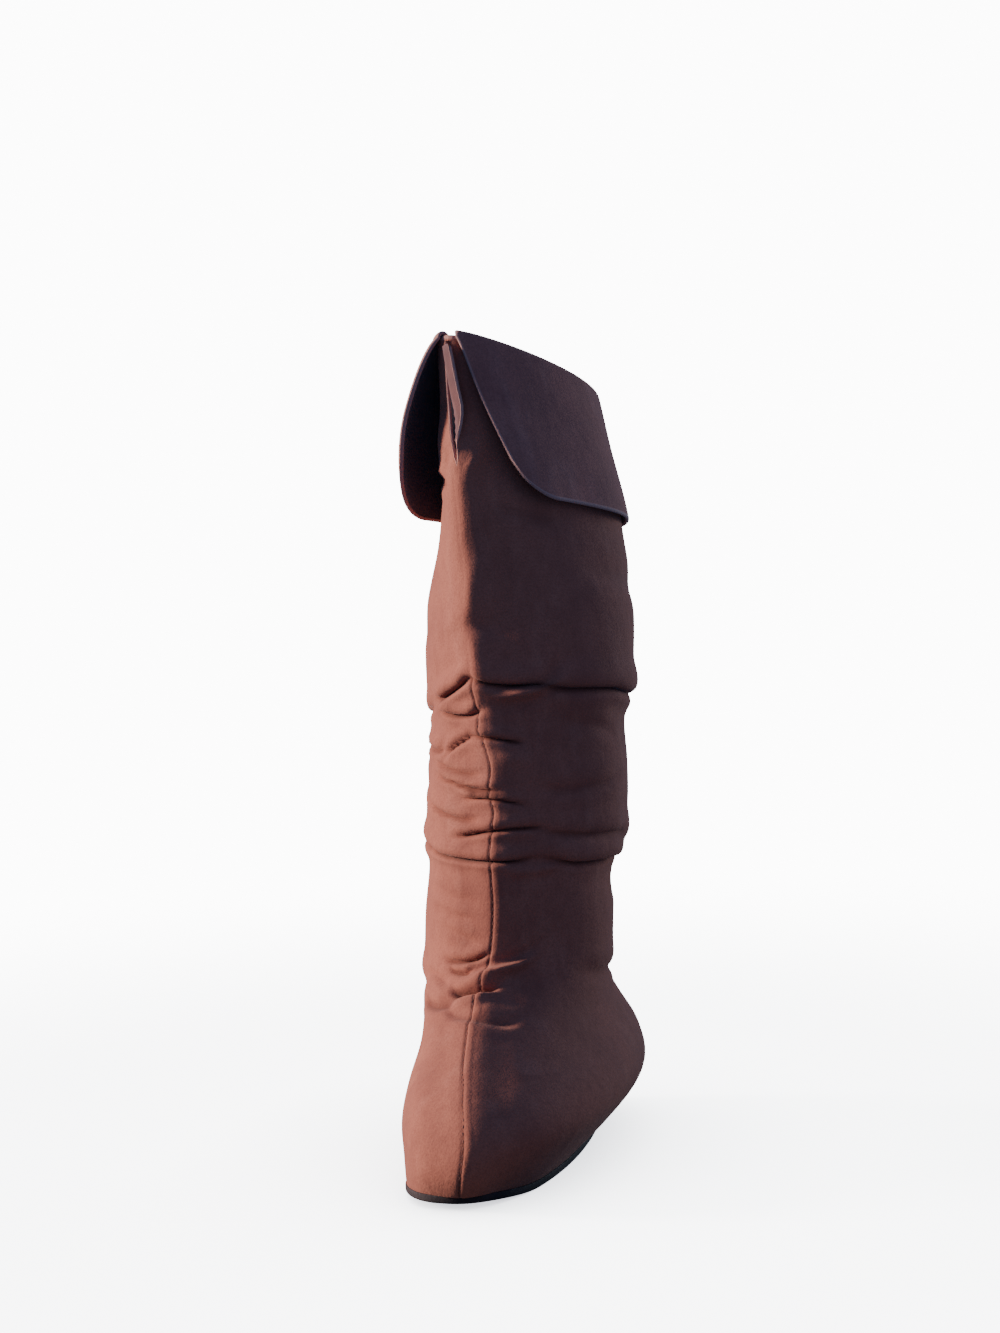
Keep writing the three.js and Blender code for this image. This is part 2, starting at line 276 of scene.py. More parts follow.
def folded(around, whole, height):
    """What the folds do to a point: how far out it moves, how far down, and how much painted shade it gets
    deep in a fold.

    A fold's middle line runs from one height to the other with an arch of 4u(1 - u). Across it, a bell curve
    pushes in, a bell above it and one below push out, and another draws the suede above down over it.
    """
    out, down, crease_shade = (np.zeros_like(height) for _ in range(3))
    for row in FOLDS:
        fold = dict(zip(FOLD_COLUMNS, row))
        reach = fold["to_mm"] - fold["from_mm"]
        past = np.mod(around - fold["from_mm"], whole)
        u = past / reach
        window = smooth(u / FOLD_TAPER) * smooth((1 - u) / FOLD_TAPER)
        rise = fold["height_to"] - fold["height_from"]
        middle = fold["height_from"] + rise * u + fold["arch"] * 4 * u * (1 - u)
        v = (height - middle) / fold["width"]
        press = window * fold["depth"]
        above = RIDGE_ABOVE["high"] * bell((v - RIDGE_ABOVE["off"]) / RIDGE_WIDE)
        below = RIDGE_BELOW["high"] * bell((v + RIDGE_BELOW["off"]) / RIDGE_WIDE)
        out += press * (above + below - bell(v))
        down += window * fold["lap"] * bell((v - LAP_OFF) / LAP_WIDE)
        # painted shade: the bottom of each fold is darkened by how deep it is pressed in
        crease_shade += np.clip(press, 0, None) * bell(v / LAP_WIDE)
    return out, down, crease_shade


print(len(FOLDS), "folds, deepest", FOLDS[:, FOLD_COLUMNS.index("depth")].max(), "mm")

# %% [markdown]
# The suede is one piece of hide, closed by a seam down the front. At the top the seam is left open, and its
# two sides part as lips. The right one is turned back like a lapel, so its lining shows, and the left one
# only lifts. Suede past a lip's crease leaves the form and follows a small arc, then a straight line. In the
# tables, 1 is the right side and -1 the left one.

# %% The slit and its lips
WALL = 2.0
FRONT_ARC = 42
SLIT_LOW = TOP - 1.8
SLIT_HIGH = TOP - 0.1
SLIT_HALF = 3.1
SLIT_LEANS = 0.625
SLIT_POINTED = 1.4
SLIT_DRIFT = -4.4
DRIFT_ENDS = 0.6
LIP_BEND = {1: np.radians(160), -1: np.radians(25)}
LIP_LONG = {1: 8.5, -1: 4.0}
LIP_ROUND = {1: 1.0, -1: 4.0}
LIP_SET = {1: 3.2, -1: 3.8}
LIP_OPENS = 0.5
LIP_CLOSES = 0.07


def slit_share(t):
    """Where a loop cuts the slit, from 0 at its lower end to 1 at its upper end."""
    return np.clip((t - SLIT_LOW) / (SLIT_HIGH - SLIT_LOW), 0, 1)


def slit_half(t):
    """Half the slit's width: half a sine wave, widest at its lower third and pointed at its ends."""
    return SLIT_HALF * np.sin(np.pi * slit_share(t) ** SLIT_LEANS) ** SLIT_POINTED


def lip_share(t):
    """How much of a lip is turned out: nothing at the slit's ends, all of it through most of its length."""
    share = slit_share(t)
    return smooth(share / LIP_OPENS) * smooth((1 - share) / LIP_CLOSES)


def crease_at(t, side):
    """How far round from the seam a side's crease lies: the slit's lean, plus or less its half width."""
    lean = SLIT_DRIFT * smooth(slit_share(t) / DRIFT_ENDS)
    return lean + side * (slit_half(t) + LIP_SET[side] * lip_share(t))


def turned_lip(distance, t, side):
    """Where a strip goes that bends up near its edge: (back towards the slit, out) from its crease.

    The first stretch past the crease lies on an arc, and the rest goes straight on at the full bend. On the
    arc, the way back is the sine of the angle passed, and the way out is 1 less its cosine, times the radius.
    """
    bend, bow = LIP_BEND[side], LIP_ROUND[side]
    past = np.clip(LIP_LONG[side] * lip_share(t) - distance, 0, None)
    curved = np.minimum(past, bow * bend)
    straight = past - curved
    back = bow * np.sin(curved / bow) + straight * np.cos(bend)
    return back, bow * (1 - np.cos(curved / bow)) + straight * np.sin(bend)


slit_wide = 2 * slit_half(np.linspace(SLIT_LOW, SLIT_HIGH, 50)).max()
print("slit", round(slit_wide, 1), "mm wide")

# %% [markdown]
# Below the slit, the leg's two sides meet in a soft crest. It is sharper on the right above the upper fold,
# wavers where the folds tug at it, and drifts off a little at the toe. The seam itself is a low ridge with a
# stitched groove on its left. All of it is relief on the form, worked out from the way to the seam's line.

# %% The seam
SEAM_HALF = 3.2
SEAM_RISE = 0.2
FOOT_SEAM_RISE = 0.3
SEAM_EASES = {"at": 9, "over": 2}
SEAM_FLAT = 1.3
SEAM_FADES = {"at": 14, "by": 0.85}
KEEL_HIGH = 3.6
KEEL_WIDE = 26
KEEL_SHARP = 1.6
KEEL_ENDS = 0.5
PINCH_HIGH = 4.2
PINCH_WIDE = {1: 18, -1: 38}
PINCH_FROM = 13.3
PINCH_OVER = 0.8
STITCH_AT = -2.8
STITCH_DEEP = 0.65
STITCH_WIDE = 0.7
SEAM_DRIFT = 0.05
SEAM_STRAIGHT = 5
TOE_DRIFT = 0.13
TOE_STRAIGHT = 3
TOE_CURVE = 1.3
# how far the seam strays to the right (second row) at a height (first row)
WAVER_HEIGHT = [160, 192, 202, 212, 223, 238, 262, 284, 300, 314, 321, 328, 337, 352, 372, 392]
WAVER_BY = [0, -0.8, 0.6, 1.4, -0.8, 2.2, -1.8, 0.8, 3, 2.5, -2.5, 0.5, 3, 3, 0, 0]


def crest(t, from_line):
    """How far the front stands out at the seam, and how deep the stitched groove is, darkened as painted
    shade.

    A wide keel, and above the upper fold a pinch that drops faster on the right, both fade out at the slit.
    The folded edges inside add a flat-topped ridge, and the stitching a narrow groove beside it.
    """
    from_seam = np.abs(from_line)
    shut = 1 - smooth(slit_half(t))
    under_slit = 1 - smooth(slit_share(t) / KEEL_ENDS)
    keel = KEEL_HIGH * under_slit * smooth(1 - from_seam / KEEL_WIDE) ** KEEL_SHARP
    pinch_wide = np.where(from_line > 0, PINCH_WIDE[1], PINCH_WIDE[-1])
    pinched = smooth((t - PINCH_FROM) / PINCH_OVER) * under_slit
    keel = keel + PINCH_HIGH * pinched * smooth(1 - from_seam / pinch_wide)
    foot = smooth((SEAM_EASES["at"] - t) / SEAM_EASES["over"])
    raised = SEAM_RISE + (FOOT_SEAM_RISE - SEAM_RISE) * foot
    ridge = raised * smooth(SEAM_FLAT * (1 - from_seam / SEAM_HALF)) * shut
    shows = 1 - SEAM_FADES["by"] * smooth(t - SEAM_FADES["at"])
    # the groove's profile also tells the material where to paint shade along the seam
    stitched = bell((from_line - STITCH_AT) / STITCH_WIDE) * shut * shows
    return keel + ridge - STITCH_DEEP * stitched, stitched


print("crest up to", round(KEEL_HIGH + PINCH_HIGH, 1), "mm")

# %% [markdown]
# Some forms aren't folds but soft dents and bulges, such as the pucker under the slit, and the places where
# the front seam gives way a little. Each row of this table is an oval hill or hollow, with its middle on the
# tape, half its width and height, how far its upper end leans sideways, and how far it stands out.

# %% Dents and bulges
BULGE_COLUMNS = ["around", "height", "wide", "tall", "lean", "out"]
BULGES = np.array([
    [8, 420, 3.2, 11, 5, 2.2],  # the lit pucker right of the slit's foot
    [-7, 424, 4, 7, 1, -2.2],  # the dent beside it
    [-26, 432, 14, 15, 0, 2.4],  # the bulge under the left flap
    [3, 368, 7, 13, 0, -1.0],
    [4, 342, 7, 13, 0, 1.2],
    [-4, 321, 9, 4, 3, -1.8],
    [5, 303, 8, 9, 0, 1.3],
    [4, 268, 9, 8, 4, 1.6],
    [14, 243, 9, 4, -2, 1.8],
    [10, 118, 12, 5, 4, 2.6],  # the lit flap of the ankle's bend
    [-30, 135, 14, 9, 0, 1.2],
    [66, 330, 26, 22, 6, 0.6],
    [-70, 350, 24, 26, -5, 1.3],
    [150, 320, 30, 20, 4, 1.6],
    [-120, 230, 22, 14, 0, 1.2],
    [170, 210, 24, 12, 0, 1.4],
])


def bulged(around, height):
    """The sum of the hills and hollows: for each, its height out times the bell of the oval distance."""
    out = np.zeros_like(height)
    for row in BULGES:
        hill = dict(zip(BULGE_COLUMNS, row))
        up_by = (height - hill["height"]) / hill["tall"]
        off_by = (around - hill["around"] - hill["lean"] * up_by) / hill["wide"]
        out += hill["out"] * np.exp(-(off_by**2 + up_by**2))
    return out


print(len(BULGES), "hills and hollows, highest", BULGES[:, BULGE_COLUMNS.index("out")].max(), "mm")

# %% [markdown]
# The upper's two faces come from one function of the angle, the loop and the depth into the wall. The form is
# moved out and down by the folds, and near the slit it follows the lips. A sculpted mesh could look as good,
# but a function can be changed in one number and stays exactly on the boot's own sizes. Both faces lie on the
# same grid, so rims can be sewn between them. The grid is closest at the seam, where a millimetre matters,
# and between the ankle and the calf, where the folds are.

# %% The upper's surface
UPPER_COLUMNS = 240
UPPER_ROWS = 200
SEAM_CLOSENESS = 0.4
FOLDED_FROM = 4.5
FOLDED_TO = 15.5
SHARE_BELOW = 0.13
SHARE_ABOVE = 0.8
LAP = {"from": 1, "over": 2}
LINING_TURNS = 3


def columns_round(count):
    """Angles from 0 to a whole turn, closer together at both ends, where the seam is."""
    w = np.linspace(-1, 1, count + 1)
    swing = np.pi * (SEAM_CLOSENESS * w + (1 - SEAM_CLOSENESS) * w * np.abs(w))
    return np.mod(np.roll(swing[:-1], -(count // 2)), 2 * np.pi)


def rows_up(count):
    """Loop numbers from 0 to the top, two thirds of them where the folds are, and the slit's two ends."""
    share = np.linspace(0, 1, count - 2)
    dense = np.interp(share, [0, SHARE_BELOW, SHARE_ABOVE, 1], [0, FOLDED_FROM, FOLDED_TO, TOP])
    return np.sort(np.concatenate([dense, [SLIT_LOW, SLIT_HIGH]]))


def upper_surface(angle, t, depth):
    """The suede's outer face (depth 0) or the lining (depth 1), with marks of painted shade in folds and
    seam.

    Columns nearer to the edge than a lip is long all stand on its crease, and the others share out the way
    from there to the back. The folds, the seam and the lip then move each point out, down and back.
    """
    side = np.where(np.arange(len(angle)) < len(angle) // 2 + 1, 1, -1)[None, :]
    turned_away = np.where(side > 0, angle[None, :], 2 * np.pi - angle[None, :])
    t = t[:, None] + 0 * turned_away
    crease = np.where(side > 0, crease_at(t, 1), crease_at(t, -1))
    lip = np.where(side > 0, LIP_LONG[1], LIP_LONG[-1]) * lip_share(t)
    way_left = (np.pi - turned_away) / (np.pi - lip / FRONT_ARC)
    at_toe = TOE_DRIFT * np.clip((TOE_STRAIGHT - t) / TOE_STRAIGHT, 0, 1) ** TOE_CURVE
    drift = (SEAM_DRIFT * np.clip(1 - t / SEAM_STRAIGHT, 0, 1) + at_toe) * (1 - turned_away / np.pi)
    place = side * np.pi - np.minimum(way_left, 1) * (side * np.pi - crease / FRONT_ARC) + drift
    points = form(place, t)
    height = points[..., 2]
    across, _, out = directions(form, place, t)
    out[..., 2] *= np.clip(t, 0, 1)
    out = unit(out)
    run, whole = tape(points)
    around = crease + np.where(side > 0, run, run - whole)
    from_line = around - np.interp(height, WAVER_HEIGHT, WAVER_BY)
    pushed, drop, crease_shade = folded(around, whole, height)
    relief, stitched = crest(t, from_line)
    pushed = pushed + bulged(around, height) + relief
    right_lip = turned_lip(turned_away * FRONT_ARC, t, 1)
    left_lip = turned_lip(turned_away * FRONT_ARC, t, -1)
    back, up_lip = (np.where(side > 0, a, b) for a, b in zip(right_lip, left_lip))
    outer = points + out * (pushed + up_lip)[..., None] - across * (side * back)[..., None]
    outer[..., 2] -= drop * smooth((t - LAP["from"]) / LAP["over"])
    if depth:
        folded_out = unit(np.cross(np.gradient(outer, axis=1), np.gradient(outer, axis=0)))
        at_lip = smooth(LINING_TURNS * lip_share(t))[..., None]
        outer = outer - unit(out + (folded_out - out) * at_lip) * WALL * depth
    # the first two marks say where the material paints shade: in folds and along the seam's groove
    return outer, {"crease_shade": crease_shade, "seam": stitched, "around": from_line}


closest = columns_round(UPPER_COLUMNS)[1] * FRONT_ARC
print(UPPER_COLUMNS, "columns, the closest", round(closest, 2), "mm apart")

# %% [markdown]
# Every piece ends as a mesh. Its points go in with foreach_set, which takes whole arrays at once and so is
# far quicker than adding them one by one. Numbers that belong to points, such as how deep they lie in a fold,
# go in as attributes, which a material can read. The mesh's own check then drops every face that has one
# point at two of its corners.

# %% From arrays to a mesh


def make_mesh(name, points, squares, marks, kinds=None):
    """A mesh object from points in millimetres, four-cornered faces, marks on its points, and face kinds."""
    mesh = bpy.data.meshes.new(name)
    mesh.vertices.add(len(points))
    mesh.vertices.foreach_set("co", (points * MM).astype(np.float32).ravel())
    mesh.loops.add(squares.size)
    mesh.loops.foreach_set("vertex_index", squares.astype(np.int32).ravel())
    mesh.polygons.add(len(squares))
    mesh.polygons.foreach_set("loop_start", np.arange(0, squares.size, 4, dtype=np.int32))
    if kinds is not None:
        mesh.polygons.foreach_set("material_index", kinds.astype(np.int32))
    for key, values in marks.items():
        mesh.attributes.new(key, "FLOAT", "POINT").data.foreach_set("value", values.astype(np.float32))
    mesh.update(calc_edges=True)
    mesh.validate()
    mesh.shade_smooth()
    piece = bpy.data.objects.new(name, mesh)
    bpy.context.scene.collection.objects.link(piece)
    print(name, len(points), "points,", 2 * len(mesh.polygons), "triangles")
    return piece


def squares_of(index):
    """The squares of a grid of point numbers, turning the same way as its columns and rows."""
    return np.stack([index[:-1, :-1], index[:-1, 1:], index[1:, 1:], index[1:, :-1]], axis=-1).reshape(-1, 4)


# %% [markdown]
# One builder makes every wall in this boot. It takes the outer and the inner face as grids, joins their
# squares, and sews a half-round rim along each open edge, because cut suede is rounded and slightly furry and
# never a sharp box edge. A Solidify modifier would do it with less work, but its rim is square, and here the
# rim's points also get a mark, called cut, which the material reads to show the pale raw edge.

# %% Walls from two faces
RIM_STEPS = 5


class Wall:
    """A closed wall that grows from two facing grids and the rims between them."""

    def __init__(self, outer, inner, joined=None):
        self.points = np.concatenate([outer.reshape(-1, 3), inner.reshape(-1, 3)])
        self.outside = np.arange(outer[..., 0].size).reshape(outer.shape[:2])
        self.inside = self.outside + self.outside.size
        if joined is not None:
            for index in (self.outside, self.inside):
                index[joined, -1] = index[joined, 0]
        self.cut = np.zeros(len(self.points))
        self.faces = [squares_of(self.outside), squares_of(self.inside)[:, ::-1]]
        self.kinds = [np.zeros(len(self.faces[0]), int), np.ones(len(self.faces[1]), int)]

    def rim(self, outer_loop, inner_loop, outer_next, raw=1.0):
        """Sews a half-round rim between two closed loops of points; outer_next are their inner neighbours.

        raw is how pale the cut edge shows, from 0 where the hide is turned under to 1 where it is bare.
        """
        a, b = self.points[outer_loop], self.points[inner_loop]
        away = unit(a - self.points[outer_next])
        half = np.linalg.norm(b - a, axis=1, keepdims=True) / 2
        turn = np.linspace(0, np.pi, RIM_STEPS + 1)[1:-1, None, None]
        arcs = (a + b) / 2 + (a - b) / 2 * np.cos(turn) + away * half * np.sin(turn)
        middle = len(self.points) + np.arange(arcs[..., 0].size).reshape(arcs.shape[:2])
        self.points = np.concatenate([self.points, arcs.reshape(-1, 3)])
        for loop in (outer_loop, inner_loop):
            self.cut[loop] = np.maximum(self.cut[loop], raw)
        self.cut = np.concatenate([self.cut, np.full(middle.size, raw)])
        strip = np.concatenate([[outer_loop], middle, [inner_loop]])
        faces = squares_of(np.concatenate([strip, strip[:, :1]], axis=1))
        self.faces.append(faces)
        self.kinds.append(np.zeros(len(faces), int))

    def build(self, name, marks):
        """The finished mesh; each mark is padded with noughts for the rims' points."""
        padded = {key: np.pad(value, (0, len(self.points) - len(value))) for key, value in marks.items()}
        padded["cut"] = self.cut
        return make_mesh(name, self.points, np.concatenate(self.faces), padded, np.concatenate(self.kinds))


# %% [markdown]
# The upper is the first wall. Its first and last columns are the seam's two sides, and share their points
# below and above the slit. It gets three rims: along the sole, where the hide is turned under and no pale
# edge shows, along the top, and round the slit.

# %% Build the upper
SHUT_UNDER = 1e-6


def row_at(number):
    """Which row of the upper's grid stands at a loop's number."""
    return np.flatnonzero(np.isclose(numbers, number))[0]


angles = np.concatenate([columns_round(UPPER_COLUMNS), [2 * np.pi]])
numbers = rows_up(UPPER_ROWS)
suede_face, suede_marks = upper_surface(angles, numbers, 0)
lining_face, _ = upper_surface(angles, numbers, 1)
shut = slit_half(numbers) < SHUT_UNDER
for face in (suede_face, lining_face):
    face[shut, -1] = face[shut, 0]
wall = Wall(suede_face, lining_face, joined=shut)
backwards = slice(-2, None, -1)
wall.rim(wall.outside[0, backwards], wall.inside[0, backwards], wall.outside[1, backwards], raw=0.0)
wall.rim(wall.outside[-1, :-1], wall.inside[-1, :-1], wall.outside[-2, :-1])
low, high = row_at(SLIT_LOW), row_at(SLIT_HIGH)
up_right = np.arange(low, high)
down_left = np.arange(high, low, -1)
slit_out = np.concatenate([wall.outside[up_right, 0], wall.outside[down_left, -1]])
slit_in = np.concatenate([wall.inside[up_right, 0], wall.inside[down_left, -1]])
slit_next = np.concatenate([wall.outside[up_right, 1], wall.outside[down_left, -2]])
wall.rim(slit_out[::-1], slit_in[::-1], slit_next[::-1])
upper = wall.build("upper_suede", {key: np.tile(mark.ravel(), 2) for key, mark in suede_marks.items()})

# %% [markdown]
# A fine row of stitches holds the seam down on its left. Each stitch is a short bit of thread that dips into
# the suede at both ends. They could be drawn by a bump, but real thread catches the light, so all of them
# are made at once: a small capsule on a grid, copied along the seam by adding arrays.

# %% The seam's stitches
STITCH_STEP = 4.2
STITCHES_END = 13.2
STITCH_LONG = 3.0
THREAD = 0.34
THREAD_SINK = 0.05
THREAD_DIPS = 2
THREAD_ENDS = 4
CAPSULE = 9
FIRST_ROW = 2


def along_line(line, normals, step):
    """Places at even steps along a line of points, with the line's direction and the outward normal there."""
    run = np.concatenate([[0], np.cumsum(np.linalg.norm(np.diff(line, axis=0), axis=1))])
    at = np.arange(step / 2, run[-1], step)
    place = np.stack([np.interp(at, run, line[:, k]) for k in range(3)], axis=1)
    ahead = np.stack([np.interp(at + step / 4, run, line[:, k]) for k in range(3)], axis=1)
    outward = unit(np.stack([np.interp(at, run, normals[:, k]) for k in range(3)], axis=1))
    return place, unit(ahead - place), outward


def stitch_row(name, line, normals):
    """Capsules of thread, one to a step: a circle swept from u = -1 to u = 1 along the line.

    Its radius is the thread's times the square root of 1 - u to the fourth, so it narrows to both tips, and
    it dips into the suede there by u to the fourth. The faces round a tip are dropped, so it stays open.
    """
    place, direction, outward = along_line(line, normals, STITCH_STEP)
    sideways = unit(np.cross(direction, outward))
    u = np.linspace(-1, 1, CAPSULE)[None, :, None, None]
    v = np.linspace(0, 2 * np.pi, CAPSULE)[None, None, :, None]
    thin = np.sqrt(np.clip(1 - u**THREAD_ENDS, 0, 1)) * THREAD
    lifted = THREAD_SINK + thin * np.sin(v) - THREAD_DIPS * THREAD * u**THREAD_ENDS
    a, b, c, d = (part[:, None, None, :] for part in (place, direction, sideways, outward))
    points = a + b * (u * STITCH_LONG / 2) + c * (thin * np.cos(v)) + d * lifted
    index = np.arange(points.shape[0] * CAPSULE**2).reshape(-1, CAPSULE, CAPSULE)
    index[:, :, -1] = index[:, :, 0]
    index[:, 0, :] = index[:, :1, 0]
    index[:, -1, :] = index[:, -1:, 0]
    corners = index[:, :-1, :-1], index[:, :-1, 1:], index[:, 1:, 1:], index[:, 1:, :-1]
    return make_mesh(name, points.reshape(-1, 3), np.stack(corners, axis=-1).reshape(-1, 4), {})


seam_out = unit(np.cross(np.gradient(suede_face, axis=1), np.gradient(suede_face, axis=0)))
picked = np.arange(FIRST_ROW, np.flatnonzero(numbers > STITCHES_END)[0])
left_half = UPPER_COLUMNS // 2 + 1
from_groove = np.abs(suede_marks["around"][picked, left_half:] - STITCH_AT)
nearest = left_half + np.argmin(from_groove, axis=1)
seam_stitches = stitch_row("seam_stitches", suede_face[picked, nearest], seam_out[picked, nearest])

# %% [markdown]
# The cuff is the top of the shaft turned down over itself. It is open in front, so it hangs as two flaps with
# rounded corners. The flap on the left stands away from the leg and curls back in lower down. A path gives
# the section of it: a short leg inside the collar, a roll over the top edge, and the flap down the outside.
# The path is carried round from one front edge to the other.

# %% The cuff
CUFF = 2.4
CUFF_WAVE = 1.3
CUFF_WAVES = 4.3
ROLL_GAP = 0.8
FLAP = {"down_right": 2.2, "down_left": 2.45, "hook": 0.2, "long": 88, "round": 340}
FRONT_EDGE = {"top": 9, "low": 30}
CORNER = {"right": 20, "left": 34}
STAND_OFF = {"back": 3, "right": 7, "left": 22, "reach": 42, "curl": 0.75}
ROLL = WALL / 2 + ROLL_GAP + CUFF / 2
JUST_UNDER = 0.01


def cuff_middle(place, run):
    """Middle of the cuff's thickness.

    place goes from 0 at the right front edge round the back to 1 at the left one. run goes from 0 at the
    inner edge to 1 at the start of the roll, to 2 at its end, and to 3 at the lower edge. The roll is half a
    circle, a corner is a quarter circle, and the flap stands off by bell curves from its two front edges.
    """
    corner = np.where(place < 0.5, CORNER["right"], CORNER["left"])
    to_edge = np.clip(corner - np.minimum(place, 1 - place) * FLAP["round"], 0, None)
    corner_up = corner - np.sqrt(np.clip(corner**2 - to_edge**2, 0, None))
    hook = FLAP["hook"] * np.clip(1 - run, 0, 1)
    turn = np.clip(run - 1, 0, 1) * np.pi
    fall = np.clip(run - 2, 0, 1) * (1 - corner_up / FLAP["long"])
    down = FLAP["down_right"] + (FLAP["down_left"] - FLAP["down_right"]) * smooth(place)
    t = TOP - hook - fall * down
    edge = (FRONT_EDGE["top"] + (FRONT_EDGE["low"] - FRONT_EDGE["top"]) * fall) / FRONT_ARC
    angle = edge + (2 * np.pi - 2 * edge) * place
    near_right = bell(place * FLAP["round"] / STAND_OFF["reach"])
    near_left = bell((1 - place) * FLAP["round"] / STAND_OFF["reach"])
    off = STAND_OFF["back"] * fall + STAND_OFF["right"] * near_right * fall
    off = off + STAND_OFF["left"] * near_left * np.sin(STAND_OFF["curl"] * np.pi * fall)
    off = off + CUFF_WAVE * fall * np.sin(2 * np.pi * CUFF_WAVES * place + 2 * fall)
    _, upward, out = directions(form, angle, np.minimum(t, TOP - JUST_UNDER))
    out = unit(out * np.array([1, 1, 0]))
    level = (-WALL / 2 - ROLL * np.cos(turn) + off)[..., None]
    return form(angle, t) + out * level + upward * (ROLL * np.sin(turn))[..., None]


CUFF_PLACES = 200
LEG_ROWS, ROLL_ROWS, FLAP_ROWS = 5, 14, 70
leg = np.linspace(0, 1, LEG_ROWS)[:-1]
roll = np.linspace(1, 2, ROLL_ROWS)[:-1]
runs = np.concatenate([leg, roll, np.linspace(2, 3, FLAP_ROWS)])
place_grid, run_grid = np.meshgrid(np.linspace(0, 1, CUFF_PLACES), runs)
middle = cuff_middle(place_grid, run_grid)
_, _, cuff_out = directions(cuff_middle, place_grid, run_grid)
cuff_wall = Wall(middle + cuff_out * CUFF / 2, middle - cuff_out * CUFF / 2)


def border(index):
    """The point numbers along a grid's four sides, once round, with their neighbours one step in."""
    loop = np.concatenate([index[0, :-1], index[:-1, -1], index[-1, :0:-1], index[:0:-1, 0]])
    rows, columns = np.unravel_index(loop - index[0, 0], index.shape)
    return loop, index[np.clip(rows, 1, len(index) - 2), np.clip(columns, 1, index.shape[1] - 2)]


outer_loop, outer_next = border(cuff_wall.outside)
inner_loop, _ = border(cuff_wall.inside)
cuff_wall.rim(outer_loop[::-1], inner_loop[::-1], outer_next[::-1])
cuff = cuff_wall.build("cuff_suede", {})

# %% [markdown]
# The sole and the insole are flat slabs on the boot's footprint. Each is a set of rings of the outline, moved
# in or out and set at a height, so one list of rings gives the rounded edge. The rings are carried on towards
# the middle. The last one is a single point, so the faces around it are dropped, and a quarter of the
# footprint's length and width stays open there, above and below.

# %% The sole and the insole
SOLE_THICK = 4.7
SOLE_PROUD = 0.6
SOLE_EDGE = {"low": 1.6, "high": 0.7}
EDGE_STEPS = 5
SHARES = (0.0, 0.25, 0.5, 0.75, 0.92)
GAP = 0.3
INSOLE_THICK = 3
INSOLE_EDGE = {"down": 1, "in": 0.8}
JUST_OVER = 1e-3


def slab(name, rings, sides=200):
    """A slab from rings of (share of the footprint kept, moved out, height), from below to above.

    A ring is the footprint, moved out along its normals and drawn towards its middle by the share.
    """
    angle = np.linspace(0, 2 * np.pi, sides + 1)
    edge = form(angle, 0)
    out = unit(directions(form, angle, np.full_like(angle, JUST_OVER))[2] * np.array([1, 1, 0]))
    centre = edge[:-1].mean(axis=0)
    loops = []
    for share, moved, height in rings:
        loop = centre + (edge + out * moved - centre) * share
        loop[:, 2] = height + lift(loop[:, 1])
        loops.append(loop)
    index = np.arange(len(rings) * (sides + 1)).reshape(len(rings), sides + 1)
    index[:, -1] = index[:, 0]
    index[0], index[-1] = index[0, 0], index[-1, 0]
    return make_mesh(name, np.concatenate(loops), squares_of(index), {})


round_low, round_high = SOLE_EDGE["low"], SOLE_EDGE["high"]
lower_edge, upper_edge = [], []
for turn in np.linspace(0, np.pi / 2, EDGE_STEPS):
    lower_edge.append((1, SOLE_PROUD - round_low * (1 - np.sin(turn)), round_low * (1 - np.cos(turn))))
    top = SOLE_THICK - round_high * (1 - np.sin(turn))
    upper_edge.append((1, SOLE_PROUD - round_high * (1 - np.cos(turn)), top))
below = [(share, SOLE_PROUD - round_low, 0) for share in SHARES]
above = [(share, SOLE_PROUD - round_high, SOLE_THICK) for share in reversed(SHARES)]
sole = slab("sole_slab", below + lower_edge + upper_edge + above)

side_in = -(WALL + 2 * GAP)
top_in = side_in - INSOLE_EDGE["in"]
insole_from = SOLE_THICK + GAP
insole_to = insole_from + INSOLE_THICK
insole_rings = [(share, side_in, insole_from) for share in SHARES]
insole_rings += [(1, side_in, insole_from), (1, side_in, insole_to - INSOLE_EDGE["down"])]
insole_rings += [(share, top_in, insole_to) for share in (1, *reversed(SHARES))]
insole = slab("insole_pad", insole_rings)

# %% [markdown]
# Shader maths reads best as ordinary expressions. This small class wraps a node's output, so that a sum, a
# difference or a product adds the Math node for it, also where the number comes first, as in 1 - mask. All
# other nodes come from one method, which sets the node's own settings first, and then fills or links its
# sockets. Colours go through Mix nodes, because a Math node would turn them grey.

# %% A small language for shaders


def both(operation):
    """An operator and its reflected form, each of which adds one Math node to the tree."""

    def ahead(self, other):
        return self.recipe.node("ShaderNodeMath", {"operation": operation}, {0: self, 1: other})

    def reflected(self, other):
        return self.recipe.node("ShaderNodeMath", {"operation": operation}, {0: other, 1: self})

    return ahead, reflected


class Socket:
    """An output of a node that can be added, subtracted and multiplied, with another or with a number."""

    __add__, __radd__ = both("ADD")
    __sub__, __rsub__ = both("SUBTRACT")
    __mul__, __rmul__ = both("MULTIPLY")

    def __init__(self, recipe, output):
        self.recipe = recipe
        self.output = output
